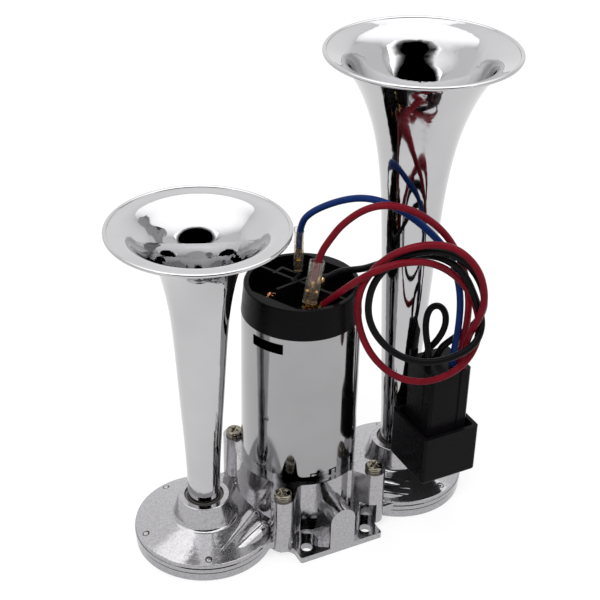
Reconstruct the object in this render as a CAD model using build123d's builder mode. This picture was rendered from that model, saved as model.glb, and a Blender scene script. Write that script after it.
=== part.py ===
from build123d import *
import math
import os

# Twin-trumpet electric air horn. Millimetres, +Z up, the origin on the motor's axis in the plane that
# the base stands on. The short trumpet stands at -X, the tall one at +X, the mounting foot is at -Y.

os.makedirs("parts", exist_ok=True)

# ---- driving dimensions ---------------------------------------------------------------------------
# trumpets
trumpet_x = 49.1          # distance of each trumpet's axis from the middle of the base
trumpet_y = -4.7          # both trumpets stand a little in front of the motor's axis
short_height = 157.3
short_rim_r = 37.5
tall_height = 214.2
tall_rim_r = 39.85
stem_r = 7.2
stem_straight = 26.0      # the stem is straight up to this height
inner_stations = 24       # points of the inner wall, each a wall's thickness inside the outer one
trumpet_wall = 1.0
lip_r = 0.9               # radius of the rolled lip
# each flare as (share of its height below the rim, share of the growth from stem radius to rim radius)
short_flare = ((0.0114, 0.860), (0.0419, 0.640), (0.0762, 0.475), (0.1318, 0.325), (0.1904, 0.252),
               (0.2590, 0.198), (0.3275, 0.161), (0.4037, 0.134), (0.4874, 0.111), (0.6626, 0.067))
tall_flare = ((0.0085, 0.885), (0.0372, 0.704), (0.0744, 0.573), (0.1275, 0.435), (0.1860, 0.328),
              (0.2497, 0.254), (0.3294, 0.1975), (0.4251, 0.158), (0.5207, 0.127), (0.6429, 0.092),
              (0.7970, 0.048))

# sound housings of the base casting
housing_r = 31.4
housing_step = 0.35       # the upper rim is this much smaller than the lower rim
step_z = 6.7
rim_top = 8.7
crown_z = 13.3            # height of the shallow dome at the collar
collar_top = 23.3
collar_r = 11.4
collar_base_r = 13.9
groove_r = 8.8
seat_z = 14.0             # the stem stands on this step
stem_gap = 0.1
seal_h = 1.9
seal_set = 0.8            # the seal lies this much below the top of the collar
seal_gap = 0.05
seal_fillet = 0.5
dome_fillet = 2.5
edge_fillet = 0.6
throat_r = 4.0
nozzle_r = 7.5
chamber_r = 25.0
chamber_roof = 7.6
nozzle_gap = 0.4          # between nozzle and diaphragm

# back covers, diaphragms and gaskets
cover_r = 31.0
cover_h = 4.0
cover_floor = 1.2
diaphragm_r = 30.4
diaphragm_t = 0.3
gasket_t = 0.5
cover_screws = 5
cover_screw_circle = 27.9
cover_screw_start = 178.0
cover_screw_r = 1.5
cover_head_r = 2.7
cover_head_h = 1.6
cover_head_sink = 2.0
screw_proud = 0.25        # the screw tips stand this far out of the top of the rim

# hub, posts and foot
hub_ledge = 2.7           # the hub stands this far out past the motor housing
hub_top = 28.0
pocket_gap = 0.3          # between each cover and the hub that is cut away round it
post_angle = 41.9         # direction of the back posts from the motor's axis, measured from the X axis
post_r = 5.2
post_bottom = 3.4         # the lobes of the posts end this far above the base plane
front_post_set = 1.1      # the front screws stand this far in front of the hub
head_gap = 0.6            # between the back screws' heads and the motor housing
web_half_y = 26.8
web_top = 8.3
foot_x = 1.5              # middle of the foot
foot_half_x = 20.3
foot_front_y = -41.1
foot_t = 3.0
foot_corner_r = 1.0
foot_strip_half_x = 25.5  # the strip that joins the foot to the hub under the front posts
foot_strip_y = -31.0
foot_side_fillet = 4.5
ramp_back_z = 7.8
ramp_inset = 0.6
hole_half_pitch = 14.85
hole_y = -35.5
foot_hole_r = 2.6
pocket_r = 5.8
pocket_top = 14.0         # the round of each pocket is cut this high into the post beside it
pocket_flare = 4.0        # the pocket's inner wall opens out to the boss over this length
boss_half_x = 6.0
boss_top = 23.2
duct_r = 4.0
ducts = (((-30.0, -14.9, 10.0), (-50.8, -27.6, 6.8)), ((-29.7, -23.3, 10.0), (-43.8, -28.3, 6.5)))
front_lobe_fillet = 3.0
back_lobe_fillet = 1.2
screw_gap = 0.05          # between a screw's shank and its hole

# air pump
pump_r = 19.8
pump_pocket_gap = 0.2
plenum_r = 15.0
plenum_z = 3.5
passage_r = 1.2
passage_z = 6.3
ring_bore_r = 14.0
ring_offset = 2.0
rotor_gap = 0.1
ring_h = 12.0
end_plate_t = 3.0
end_gap = 0.08            # axial running gap at each end of the pump rotor
vane_count = 4
vane_start = 45.0
vane_t = 1.6
vane_depth = 5.0
vane_gap = 0.05
port_r = 1.5
port_circle = 13.7
port_angle = 40.0
pump_screws_count = 3
pump_screws_start = 60.0
pump_screw_circle = 17.3
pump_screw_r = 1.2
pump_screw_grip = 2.0
pump_head_r = 2.1
pump_head_h = 1.2

# flange, motor and shaft
flange_t = 2.6
flange_screw_r = 2.0
flange_head_r = 3.9
flange_head_h = 2.9
flange_screw_grip = 9.0
flange_bore_gap = 1.5     # the shaft passes the flange with this room round it
spigot_gap = 0.1
spigot_wall = 2.4
housing_tube_r = 25.9
tube_wall = 1.0
cap_z = 104.1             # top edge of the motor housing
spigot_h = 3.0
shaft_r = 2.5
shaft_end_gap = 0.3
running_gap = 0.05
bearing_r = 5.5
bearing_h = 6.0
bearing_wall = 2.5
bearing_gap = 0.02
armature_r = 17.0
armature_z = 48.0
armature_h = 34.0
armature_slots = 10
slot_w = 2.6
slot_depth = 7.0
slot_mouth = 1.0
tooth_tip = 0.8
winding_gap = 0.2
winding_r = 14.2
winding_h = 6.0
magnet_gap = 0.7
magnet_seat_gap = 0.02
magnet_angle = 140.0
magnet_overhang = 5.0
commutator_r = 7.0
commutator_z = 90.0
commutator_h = 9.5
commutator_bars = 10
bar_slit_w = 0.4
bar_slit_depth = 1.2
brush_w = 4.2
brush_h = 6.0
brush_l = 8.0
brush_gap = 0.1
brush_clear = 0.15
brush_box_wall = 0.8
brush_box_set = 1.5       # the box starts this much further out than the brush

# slot, tab and dimple of the motor housing
slot_z = 99.0
slot_h = 5.0
slot_a = (-168.0, -134.0)
tab_a = (-105.5, -77.0)
tab_h = 3.3
tab_edge = 0.7            # width of the tube's edge below the tab
slit_w = 0.7
slit_a = 1.5
window_a = (-99.0, -82.5)
dimple_a = -150.8
dimple_z = 61.6
dimple_r = 1.4

# end cap
cap_h = 13.7
cap_taper = 1.2           # the top of the cap is this much smaller than the motor housing
cap_wall = 2.1
cap_floor_t = 2.5
flat_set = 3.1            # the flat walls stand this far inside the round wall
flat_angle = 26.3
rib_t = 1.3
rib_sink = 0.5
cross_rib = ((-12.2, -0.5), (2.6, 2.3), (10.1, 1.8))
cross_rib_end = -1.8      # the rib runs on to the round wall at this Y
brush_bay = ((-7.4, 12.1), (-2.0, 14.7), (2.2, 6.5), (-3.2, 3.0))
ring_boss = (9.0, -8.0)
ring_boss_r = 3.2
ring_boss_h = 5.4
red_plate = (-0.5, -11.5, 8.9, 6.8)
red_plate_z = 110.5

# terminals, measured along each blade from the lower edge of its receptacle
tab_w = 3.8
tab_in = 4.6              # the blade reaches this far into its receptacle
plate_t = 0.6
lug_w = 3.0
blue_terminal = 67.15     # direction of the blue terminal from the motor's axis
blue_pad = (6.0, 4.0, 1.0)
blue_up = 2.4             # the receptacle starts this far above the foot of its blade
red_blade = (-1.8, -10.2)
red_lean = 9.0
red_up = 0.5
terminal_turn = 24.6      # the two flat receptacles stand square to each other, turned by this angle
ferrule_r = 1.6
ferrule_len = 2.2
receptacle_len = 7.0
receptacle_wall = 0.6
blade_gap = 0.1
barrel_r = 1.6
wire_in = 12.3            # the insulation ends here
sleeve_up = 2.0
sleeve_len = 19.0
sleeve_w = 6.3
sleeve_t = 4.2
sleeve_wall = 0.3
sleeve_corner_r = 1.6
sleeve_gap = 0.15         # between the blue sleeve and the wall of the cap

# relay and socket
relay_x = 40.4
relay_y = -41.9
relay_z = 23.8
relay_w = 28.0
relay_h = 24.5
shroud_wall = 1.8
shroud_depth = 4.0
relay_corner_r = 1.6
relay_edge_r = 1.5
socket_w = 20.0
socket_top = 77.8
socket_chamfer = 1.2
socket_groove_r = 0.6
well_r = 1.7
well_z = 72.8
latch_w = 3.6
latch_t = 1.6
latch_z = 60.0
latch_proud = 2.5
blade_pitch = 7.2
socket_clear = 0.2
blade_w = 6.3
blade_t = 0.8
blade_h = 11.0

# wires
wire_d = 3.0
jumper_d = 2.9
blue_route = ((7.5, 17.8, 123.3), (7.5, 17.8, 134.4), (10.6, 11.9, 143.4), (17.7, -4.2, 155.0),
              (24.8, -15.3, 158.4), (33.8, -23.5, 154.1), (43.5, -29.4, 145.1),
              (52.5, -32.1, 133.1), (57.6, -33.4, 116.2), (58.4, -33.6, 99.6), (58.3, -31.3, 82.0),
              (58.3, -31.3, well_z))
red_route = ((0.2, -10.2, 123.8), (1.9, -10.2, 134.3), (5.6, -13.7, 144.0), (9.2, -16.7, 151.2),
             (16.1, -21.7, 158.8), (24.5, -27.3, 161.5), (35.6, -31.6, 157.0), (46.6, -34.9, 147.0),
             (54.7, -36.3, 132.3), (59.1, -37.1, 117.3), (60.2, -36.9, 103.1), (62.0, -31.3, 82.0),
             (62.0, -31.3, well_z))
red_feed_route = ((2.9, -14.1, 113.2), (7.9, -22.8, 124.6), (14.2, -33.3, 136.2), (23.8, -38.1, 140.6),
                  (36.8, -39.8, 138.8), (50.4, -39.6, 128.9), (60.1, -41.0, 114.7), (62.9, -43.3, 98.9),
                  (55.9, -44.6, 86.1), (40.8, -43.0, 80.4), (26.7, -37.9, 82.8), (16.1, -31.7, 94.3),
                  (11.2, -27.3, 110.8), (12.6, -26.6, 127.0), (20.6, -32.2, 141.1), (31.7, -39.9, 148.0),
                  (44.2, -45.2, 146.8), (54.6, -48.3, 135.8), (59.0, -49.1, 121.4), (58.0, -47.6, 110.2),
                  (56.8, -42.4, 99.0), (60.8, -35.5, 81.0), (60.8, -35.5, well_z))
black_route = ((9.6, -2.0, 117.0), (15.2, -3.0, 120.0), (20.3, -6.2, 121.4), (23.0, -12.2, 124.4),
               (26.9, -21.0, 131.2), (33.7, -31.0, 138.5), (43.8, -37.5, 138.2), (52.2, -42.1, 131.2),
               (57.6, -44.7, 117.9), (62.4, -45.0, 105.0), (56.4, -48.6, 97.6), (43.8, -47.0, 93.1),
               (31.3, -42.8, 93.1), (20.9, -36.2, 99.1), (14.6, -30.3, 111.1), (15.8, -29.2, 126.5),
               (22.3, -32.7, 138.0), (32.7, -37.9, 143.8), (45.9, -41.2, 141.6), (58.8, -41.5, 129.3),
               (67.2, -39.5, 110.6), (67.3, -32.6, 96.1), (61.5, -27.4, 88.8), (54.2, -24.3, 81.4),
               (54.2, -24.3, well_z))
jumper_route = ((48.9, -27.1, well_z), (48.9, -27.1, 82.8), (47.6, -24.5, 93.4), (48.3, -23.4, 101.1),
                (50.3, -24.0, 105.4), (53.9, -25.1, 105.3), (56.6, -25.9, 100.8), (56.6, -26.1, 94.1),
                (53.4, -25.5, 87.6), (50.3, -22.0, 81.0), (50.3, -22.0, well_z))
wires = (("blue_wire", blue_route, wire_d), ("red_wire", red_route, wire_d),
         ("red_feed_wire", red_feed_route, wire_d), ("black_wire", black_route, wire_d),
         ("black_jumper", jumper_route, jumper_d))

# ---- sizes that follow ------------------------------------------------------------------------------
diaphragm_z = cover_h
gasket_z = diaphragm_z + diaphragm_t
casting_z = gasket_z + gasket_t
flange_z = hub_top
flange_top = flange_z + flange_t
tube_in_r = housing_tube_r - tube_wall
hub_r = housing_tube_r + hub_ledge
post_circle = housing_tube_r + flange_head_r + head_gap
post_x = post_circle * math.cos(math.radians(post_angle))
post_ys = (-hub_r - front_post_set, post_circle * math.sin(math.radians(post_angle)))
post_points = [(x, y) for x in (-post_x, post_x) for y in post_ys]
groove_z = collar_top - seal_set - seal_h
cap_top_r = housing_tube_r - cap_taper
cap_opening_r = cap_top_r - cap_wall
flat_distance = cap_opening_r - flat_set
blue_circle = cap_opening_r - sleeve_w / 2 - sleeve_gap
blue_blade = (blue_circle * math.cos(math.radians(blue_terminal)),
              blue_circle * math.sin(math.radians(blue_terminal)))
rotor_r = ring_bore_r - ring_offset - rotor_gap
ring_z = flange_z - ring_h
end_plate_z = ring_z - end_plate_t
cap_floor_z = cap_z + 1.0
cap_top = cap_z + cap_h
spigot_r = tube_in_r - spigot_gap
bearing_low_z = flange_z + 0.6
bearing_high_z = cap_floor_z + cap_floor_t - bearing_h - 0.5
housings = {"short": -trumpet_x, "tall": trumpet_x}
nozzle_z = gasket_z + nozzle_gap
dome_slope = (crown_z - rim_top) / (housing_r - housing_step - collar_base_r)
rim_at_screw = crown_z - dome_slope * (cover_screw_circle - collar_base_r)


def upright(x, y):
    """Vertical drawing plane through (x, y): local x along +X, local y up."""
    return Plane(origin=(x, y, 0), x_dir=(1, 0, 0), z_dir=(0, -1, 0))


def screw_start(x):
    """Angle of a housing's first cover screw. The right housing mirrors the left one."""
    return cover_screw_start if x < 0 else 180 - cover_screw_start


def bend_radii(route):
    """Radius at each corner: 0.45 of the shorter run beside it over the tangent of half the turn."""
    points = [Vector(*p) for p in route]
    radii = []
    for before, corner, after in zip(points, points[1:], points[2:]):
        run_in = corner - before
        run_out = after - corner
        half_turn = math.radians(run_in.get_angle(run_out)) / 2
        radii.append(0.45 * min(run_in.length, run_out.length) / math.tan(half_turn))
    return radii


def finish(part, label):
    """Name a finished piece and write it."""
    part.label = label
    export_step(part, f"parts/{label}.step")


def cylinder_plane(start, end):
    """Plane at start that looks along the line to end, and the length of the line."""
    way = Vector(*end) - Vector(*start)
    return Plane(origin=start, z_dir=way), way.length


# Outline shared by hub and flange: a circle round the motor with a lobe at each screw.
with BuildSketch() as hub_outline:
    Circle(hub_r)
    for x, y in post_points:
        SlotCenterPoint(center=(x / 2, y / 2), point=(x, y), height=2 * post_r)
    necks = hub_outline.vertices().filter_by(lambda v: abs(Vector(v).length - hub_r) < 0.01)
    fillet(necks.filter_by_position(Axis.Y, -hub_r, 0), radius=front_lobe_fillet)
    necks = hub_outline.vertices().filter_by(lambda v: abs(Vector(v).length - hub_r) < 0.01)
    fillet(necks.filter_by_position(Axis.Y, 0, hub_r), radius=back_lobe_fillet)


# ---- base casting -----------------------------------------------------------------------------------
# One casting: the hub round the pump with its four screw posts, a domed sound housing at each side with
# the collar that holds a trumpet, cast duct ridges, and the mounting foot with its scallops and boss.
with BuildPart() as base_casting:
    with BuildSketch():
        Circle(hub_r)
    extrude(amount=hub_top)
    with BuildSketch(Plane.XY.offset(post_bottom)):
        add(hub_outline.sketch)
    extrude(amount=hub_top - post_bottom)

    for x in housings.values():
        with BuildSketch(upright(x, trumpet_y)) as dome:
            with BuildLine():
                Polyline((0, nozzle_z), (nozzle_r, nozzle_z), (nozzle_r, casting_z), (housing_r, casting_z),
                         (housing_r, step_z), (housing_r - housing_step, step_z),
                         (housing_r - housing_step, rim_top), (collar_base_r, crown_z),
                         (collar_r, collar_top), (0, collar_top), close=True)
            make_face()
            fillet(dome.vertices().filter_by(lambda v: abs(v.Y - crown_z) < 0.01), radius=dome_fillet)
            fillet(dome.vertices().filter_by(lambda v: v.Y > collar_top - 0.01 and v.X > 1), radius=edge_fillet)
            fillet(dome.vertices().filter_by(lambda v: abs(v.Y - rim_top) < 0.01), radius=edge_fillet)
        revolve(axis=Axis((x, trumpet_y, 0), (0, 0, 1)))

    with BuildSketch(Plane.XY.offset(casting_z)):
        with Locations((0, trumpet_y)):
            Rectangle(2 * trumpet_x, 2 * web_half_y)
    extrude(amount=web_top - casting_z)

    for left_start, left_end in ducts:
        for side in (1, -1):
            start = (side * left_start[0], left_start[1], left_start[2])
            end = (side * left_end[0], left_end[1], left_end[2])
            plane, length = cylinder_plane(start, end)
            with BuildSketch(plane):
                Circle(duct_r)
            extrude(amount=length)
            with Locations(start, end):
                Sphere(duct_r)

    with BuildSketch() as foot:
        with Locations((foot_x, foot_front_y / 2)):
            Rectangle(2 * foot_half_x, -foot_front_y)
        with Locations((foot_x, foot_strip_y / 2)):
            Rectangle(2 * foot_strip_half_x, -foot_strip_y)
        inner_corners = foot.vertices().filter_by_position(Axis.Y, foot_strip_y - 0.1, foot_strip_y + 0.1)
        fillet(inner_corners.sort_by(Axis.X)[1:3], radius=foot_side_fillet)
        fillet(foot.vertices().filter_by_position(Axis.Y, foot_front_y - 0.1, foot_front_y + 0.1),
               radius=foot_corner_r)
    extrude(amount=foot_t)

    with BuildSketch(Plane.YZ.offset(foot_x)):
        with BuildLine():
            Polyline((foot_front_y + foot_corner_r, 0), (foot_front_y + foot_corner_r, foot_t),
                     (-hub_r, ramp_back_z), (-hub_r + post_r, 0), close=True)
        make_face()
    extrude(amount=foot_half_x - ramp_inset, both=True)

    # screw pockets, open in front, whose inner walls open out towards the boss
    for side in (-1, 1):
        hole_x = foot_x + side * hole_half_pitch
        wall_x = hole_x - side * pocket_r
        boss_x = foot_x + side * boss_half_x
        outer_x = foot_x + side * (foot_half_x + 1)
        with BuildSketch(Plane.XY.offset(foot_t)):
            with Locations((hole_x, hole_y)):
                Circle(pocket_r)
            with BuildLine():
                Polyline((outer_x, hole_y), (wall_x, hole_y), (boss_x, hole_y - pocket_flare),
                         (boss_x, foot_front_y - 1), (outer_x, foot_front_y - 1), close=True)
            make_face()
        extrude(amount=pocket_top - foot_t, mode=Mode.SUBTRACT)
        with BuildSketch():
            with Locations((hole_x, hole_y)):
                Circle(foot_hole_r)
        extrude(amount=foot_t, mode=Mode.SUBTRACT)

    with BuildSketch(Plane.XZ.offset(-foot_front_y)):
        with Locations((foot_x, (boss_top - boss_half_x) / 2)):
            Rectangle(2 * boss_half_x, boss_top - boss_half_x)
        with Locations((foot_x, boss_top - boss_half_x)):
            Circle(boss_half_x)
    extrude(amount=foot_front_y + hub_r - post_r / 2)

    # sound chamber, nozzle, throat and trumpet seat of each housing, and the room for its cover
    for x in housings.values():
        with BuildSketch(upright(x, trumpet_y)):
            with BuildLine():
                Polyline((0, -1), (cover_r + pocket_gap, -1), (cover_r + pocket_gap, casting_z),
                         (chamber_r, casting_z), (chamber_r, chamber_roof), (nozzle_r, chamber_roof),
                         (nozzle_r, nozzle_z), (throat_r, nozzle_z), (throat_r, seat_z),
                         (stem_r + stem_gap, seat_z), (stem_r + stem_gap, groove_z), (groove_r, groove_z),
                         (groove_r, collar_top + 1), (0, collar_top + 1), close=True)
            make_face()
        revolve(axis=Axis((x, trumpet_y, 0), (0, 0, 1)), mode=Mode.SUBTRACT)
        with BuildSketch(Plane.XY.offset(casting_z)):
            with Locations((x, trumpet_y)):
                with PolarLocations(cover_screw_circle, cover_screws, start_angle=screw_start(x)):
                    Circle(cover_screw_r + screw_gap)
        extrude(amount=crown_z - casting_z, mode=Mode.SUBTRACT)

    # pump pocket, plenum below it and the two air passages to the chambers
    with BuildSketch(Plane.XY.offset(end_plate_z)):
        Circle(pump_r + pump_pocket_gap)
    extrude(amount=hub_top, mode=Mode.SUBTRACT)
    with BuildSketch(Plane.XY.offset(plenum_z)):
        Circle(plenum_r)
    extrude(amount=end_plate_z - plenum_z, mode=Mode.SUBTRACT)
    with BuildSketch(Plane.YZ):
        with Locations((trumpet_y, passage_z)):
            Circle(passage_r)
    extrude(amount=trumpet_x - chamber_r + 1, both=True, mode=Mode.SUBTRACT)

    with BuildSketch(Plane.XY.offset(hub_top)):
        with Locations(*post_points):
            Circle(flange_screw_r + screw_gap)
    extrude(amount=-flange_screw_grip - 1, mode=Mode.SUBTRACT)
finish(base_casting.part, "base_casting")

# ---- sound housings: covers, diaphragms, gaskets, screws ----------------------------------------------
for side, x in housings.items():
    screw_places = [(x + cover_screw_circle * math.cos(math.radians(a)),
                     trumpet_y + cover_screw_circle * math.sin(math.radians(a)))
                    for a in (screw_start(x) + 360 / cover_screws * i for i in range(cover_screws))]

    with BuildPart() as cover:
        with BuildSketch(upright(x, trumpet_y)) as section:
            with BuildLine():
                Polyline((0, 0), (cover_r, 0), (cover_r, cover_h), (chamber_r, cover_h),
                         (chamber_r, cover_floor), (0, cover_floor), close=True)
            make_face()
            fillet(section.vertices().filter_by(lambda v: v.X > cover_r - 0.01 and v.Y < 0.01),
                   radius=edge_fillet)
        revolve(axis=Axis((x, trumpet_y, 0), (0, 0, 1)))
        with BuildSketch():
            with Locations(*screw_places):
                Circle(cover_screw_r + screw_gap)
        extrude(amount=cover_h, mode=Mode.SUBTRACT)
        with BuildSketch():
            with Locations(*screw_places):
                Circle(cover_head_r + screw_gap)
        extrude(amount=cover_head_sink, mode=Mode.SUBTRACT)
    finish(cover.part, f"{side}_cover")

    with BuildPart() as diaphragm:
        with BuildSketch(Plane.XY.offset(diaphragm_z)):
            with Locations((x, trumpet_y)):
                Circle(diaphragm_r)
            with Locations(*screw_places):
                Circle(cover_screw_r + screw_gap, mode=Mode.SUBTRACT)
        extrude(amount=diaphragm_t)
    finish(diaphragm.part, f"{side}_diaphragm")

    with BuildPart() as gasket:
        with BuildSketch(Plane.XY.offset(gasket_z)):
            with Locations((x, trumpet_y)):
                Circle(diaphragm_r)
                Circle(chamber_r, mode=Mode.SUBTRACT)
            with Locations(*screw_places):
                Circle(cover_screw_r + screw_gap, mode=Mode.SUBTRACT)
        extrude(amount=gasket_t)
    finish(gasket.part, f"{side}_gasket")

    with BuildPart() as screws:
        with BuildSketch(Plane.XY.offset(cover_head_sink - cover_head_h)):
            with Locations(*screw_places):
                Circle(cover_head_r)
        extrude(amount=cover_head_h)
        with BuildSketch(Plane.XY.offset(cover_head_sink)):
            with Locations(*screw_places):
                Circle(cover_screw_r)
        extrude(amount=rim_at_screw + screw_proud - cover_head_sink)
    finish(screws.part, f"{side}_cover_screws")

# ---- trumpets and their seals -------------------------------------------------------------------------
for side, height, rim_r, flare in (("short", short_height, short_rim_r, short_flare),
                                   ("tall", tall_height, tall_rim_r, tall_flare)):
    x = housings[side]
    lip = (rim_r - lip_r, height - lip_r)
    growth = rim_r - stem_r
    flare_h = height - stem_straight
    outer_points = [(stem_r, stem_straight)]
    outer_points += [(stem_r + share * growth, height - depth * flare_h) for depth, share in reversed(flare)]
    outer_points += [(lip[0] + trumpet_wall * 0.4, lip[1] - trumpet_wall * 0.3)]

    with BuildPart() as trumpet:
        with BuildSketch(upright(x, trumpet_y)):
            with BuildLine():
                outer = Spline(*outer_points, tangents=((0, 1), (1, 0.5)))
                stations = [i / inner_stations for i in range(inner_stations + 1)]
                inner_points = [outer @ t + (outer % t).rotate(Axis.Z, 90) * trumpet_wall for t in stations]
                inner = Spline(*inner_points, tangents=((0, 1), (1, 0.5)))
                Line(outer @ 1, inner @ 1)
                Polyline(inner @ 0, (stem_r - trumpet_wall, seat_z), (stem_r, seat_z), outer @ 0)
            make_face()
            with Locations(lip):
                Circle(lip_r)
        revolve(axis=Axis((x, trumpet_y, 0), (0, 0, 1)))
    finish(trumpet.part, f"{side}_trumpet")

    with BuildPart() as seal:
        with BuildSketch(Plane.XY.offset(groove_z)):
            with Locations((x, trumpet_y)):
                Circle(groove_r - seal_gap)
                Circle(stem_r + seal_gap, mode=Mode.SUBTRACT)
        extrude(amount=seal_h)
        fillet(seal.edges().group_by(Axis.Z)[-1], radius=seal_fillet)
    finish(seal.part, f"{side}_trumpet_seal")

# ---- flange and screws ----------------------------------------------------------------------------------
with BuildPart() as flange:
    with BuildSketch(Plane.XY.offset(flange_z)):
        add(hub_outline.sketch)
    extrude(amount=flange_t)
    with BuildSketch(Plane.XY.offset(flange_top)):
        Circle(tube_in_r - spigot_gap)
        Circle(tube_in_r - spigot_gap - spigot_wall, mode=Mode.SUBTRACT)
    extrude(amount=spigot_h)
    with BuildSketch(Plane.XY.offset(flange_top)):
        Circle(bearing_r + bearing_wall)
    extrude(amount=bearing_low_z + bearing_h - flange_top)
    with BuildSketch(Plane.XY.offset(bearing_low_z)):
        Circle(bearing_r + bearing_gap)
    extrude(amount=bearing_h, mode=Mode.SUBTRACT)
    with BuildSketch(Plane.XY.offset(flange_z)):
        Circle(shaft_r + flange_bore_gap)
        with Locations(*post_points):
            Circle(flange_screw_r + screw_gap)
        with PolarLocations(port_circle, 1, start_angle=port_angle):
            Circle(port_r)
    extrude(amount=flange_t, mode=Mode.SUBTRACT)
    with BuildSketch(Plane.XY.offset(flange_z)):
        with PolarLocations(pump_screw_circle, pump_screws_count, start_angle=pump_screws_start):
            Circle(pump_screw_r + screw_gap)
    extrude(amount=pump_screw_grip + screw_gap, mode=Mode.SUBTRACT)
finish(flange.part, "compressor_flange")

with BuildPart() as flange_screws:
    with BuildSketch(Plane.XY.offset(flange_top)):
        with Locations(*post_points):
            Circle(flange_head_r)
    extrude(amount=flange_head_h)
    fillet(flange_screws.edges().group_by(Axis.Z)[-1], radius=flange_head_h * 0.6)
    with BuildSketch(Plane.XY.offset(flange_top - flange_t - flange_screw_grip)):
        with Locations(*post_points):
            Circle(flange_screw_r)
    extrude(amount=flange_t + flange_screw_grip)
finish(flange_screws.part, "flange_screws")

# ---- vane pump --------------------------------------------------------------------------------------------
with BuildPart() as pump_ring:
    with BuildSketch(Plane.XY.offset(ring_z)):
        Circle(pump_r)
        with Locations((ring_offset, 0)):
            Circle(ring_bore_r, mode=Mode.SUBTRACT)
        with PolarLocations(pump_screw_circle, pump_screws_count, start_angle=pump_screws_start):
            Circle(pump_screw_r + screw_gap, mode=Mode.SUBTRACT)
    extrude(amount=ring_h)
finish(pump_ring.part, "pump_ring")

with BuildPart() as pump_end_plate:
    with BuildSketch(Plane.XY.offset(end_plate_z)):
        Circle(pump_r)
        with PolarLocations(port_circle, 1, start_angle=-port_angle):
            Circle(port_r, mode=Mode.SUBTRACT)
        with PolarLocations(pump_screw_circle, pump_screws_count, start_angle=pump_screws_start):
            Circle(pump_screw_r + screw_gap, mode=Mode.SUBTRACT)
    extrude(amount=end_plate_t)
    with BuildSketch(Plane.XY.offset(end_plate_z)):
        with PolarLocations(pump_screw_circle, pump_screws_count, start_angle=pump_screws_start):
            Circle(pump_head_r + screw_gap)
    extrude(amount=pump_head_h, mode=Mode.SUBTRACT)
finish(pump_end_plate.part, "pump_end_plate")

with BuildPart() as pump_screws:
    with BuildSketch(Plane.XY.offset(end_plate_z)):
        with PolarLocations(pump_screw_circle, pump_screws_count, start_angle=pump_screws_start):
            Circle(pump_head_r)
    extrude(amount=pump_head_h)
    with BuildSketch(Plane.XY.offset(end_plate_z + pump_head_h)):
        with PolarLocations(pump_screw_circle, pump_screws_count, start_angle=pump_screws_start):
            Circle(pump_screw_r)
    extrude(amount=end_plate_t + ring_h + pump_screw_grip - pump_head_h)
finish(pump_screws.part, "pump_screws")

with BuildPart() as pump_rotor:
    with BuildSketch(Plane.XY.offset(ring_z + end_gap)):
        Circle(rotor_r)
        Circle(shaft_r, mode=Mode.SUBTRACT)
        with PolarLocations(rotor_r - vane_depth / 2, vane_count, start_angle=vane_start):
            Rectangle(vane_depth + 2 * vane_gap, vane_t + 2 * vane_gap, mode=Mode.SUBTRACT)
        with PolarLocations(rotor_r, vane_count, start_angle=vane_start):
            Rectangle(vane_depth, vane_t + 2 * vane_gap, mode=Mode.SUBTRACT)
    extrude(amount=ring_h - 2 * end_gap)
finish(pump_rotor.part, "pump_rotor")

with BuildPart() as vanes:
    with BuildSketch(Plane.XY.offset(ring_z + end_gap)):
        with PolarLocations(rotor_r - vane_depth / 2 - vane_gap, vane_count, start_angle=vane_start):
            Rectangle(vane_depth, vane_t)
    extrude(amount=ring_h - 2 * end_gap)
finish(vanes.part, "vanes")

# ---- motor --------------------------------------------------------------------------------------------------
with BuildPart() as motor_housing:
    with BuildSketch(Plane.XY.offset(flange_top)):
        Circle(housing_tube_r)
        Circle(tube_in_r, mode=Mode.SUBTRACT)
    extrude(amount=cap_z - flange_top)
    # cooling slot, then the window and the slits of the tab punched at the foot of the tube
    tab_z = flange_top + tab_edge
    cuts = ((slot_a[0], slot_a[1], slot_z - slot_h / 2, slot_h),
            (window_a[0], window_a[1], tab_z, tab_h),
            (tab_a[0], tab_a[1], tab_z + tab_h - slit_w, slit_w),
            (tab_a[0], tab_a[0] + slit_a, tab_z, tab_h),
            (tab_a[1] - slit_a, tab_a[1], tab_z, tab_h))
    for start, end, z, height in cuts:
        with BuildSketch(Plane.XY.offset(z)):
            with BuildLine():
                corners = [(2 * housing_tube_r * math.cos(math.radians(a)),
                            2 * housing_tube_r * math.sin(math.radians(a)))
                           for a in (start, (start + end) / 2, end)]
                Polyline((0, 0), *corners, close=True)
            make_face()
        extrude(amount=height, mode=Mode.SUBTRACT)
    outward = Vector(1, 0, 0).rotate(Axis.Z, dimple_a)
    with BuildSketch(Plane(origin=outward * housing_tube_r + Vector(0, 0, dimple_z), z_dir=outward)):
        Circle(dimple_r)
    extrude(amount=-tube_wall * 0.6, mode=Mode.SUBTRACT)
finish(motor_housing.part, "motor_housing")

with BuildPart() as magnets:
    with BuildSketch(Plane.XY.offset(armature_z - magnet_overhang)):
        with BuildLine():
            outer = CenterArc((0, 0), tube_in_r - magnet_seat_gap, -magnet_angle / 2, magnet_angle)
            inner = CenterArc((0, 0), armature_r + magnet_gap, -magnet_angle / 2, magnet_angle)
            Line(outer @ 0, inner @ 0)
            Line(outer @ 1, inner @ 1)
        make_face()
    extrude(amount=armature_h + 2 * magnet_overhang)
    mirror(about=Plane.YZ)
finish(magnets.part, "magnets")

with BuildPart() as shaft:
    with BuildSketch(Plane.XY.offset(ring_z + end_gap)):
        Circle(shaft_r)
    extrude(amount=bearing_high_z + bearing_h - shaft_end_gap - ring_z - end_gap)
finish(shaft.part, "shaft")

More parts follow.
